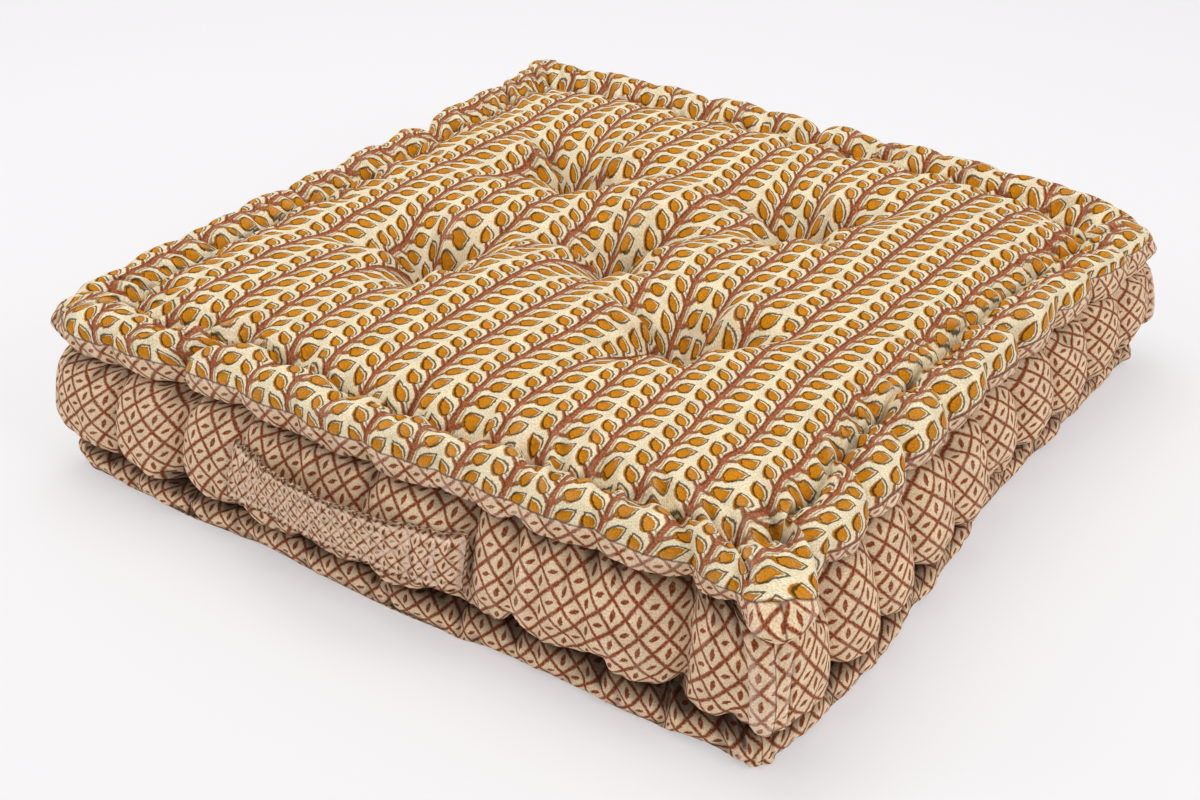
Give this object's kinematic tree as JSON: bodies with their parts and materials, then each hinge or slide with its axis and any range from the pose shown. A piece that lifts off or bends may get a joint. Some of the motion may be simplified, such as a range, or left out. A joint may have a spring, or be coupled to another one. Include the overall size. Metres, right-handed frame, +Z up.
{
  "type": "square floor cushion with edge rolls and a strap handle",
  "caption": "Square block-printed floor cushion, stuffed thick, with hand-sewn rolls round its top and base, tufts, and a cloth strap handle on one side.",
  "frame": {"origin": "centre of the footprint, on the surface the cushion rests on", "axes": "+Z up; the side with the strap handle faces -Y; +X to the right when looking at the handle"},
  "size_m": [0.6107, 0.6165, 0.1458],
  "materials": {
    "vine_velvet": "cotton velvet, cream ground block-printed with rust vines and mustard leaves with grey-green outlines",
    "lattice_velvet": "cotton velvet, beige ground block-printed with a rust diamond lattice and small seeds",
    "sewing_thread": "waxed cotton thread, natural"
  },
  "bodies": {
    "root": {"cushion": "vine_velvet", "handle": "lattice_velvet"}
  },
  "joints": []
}
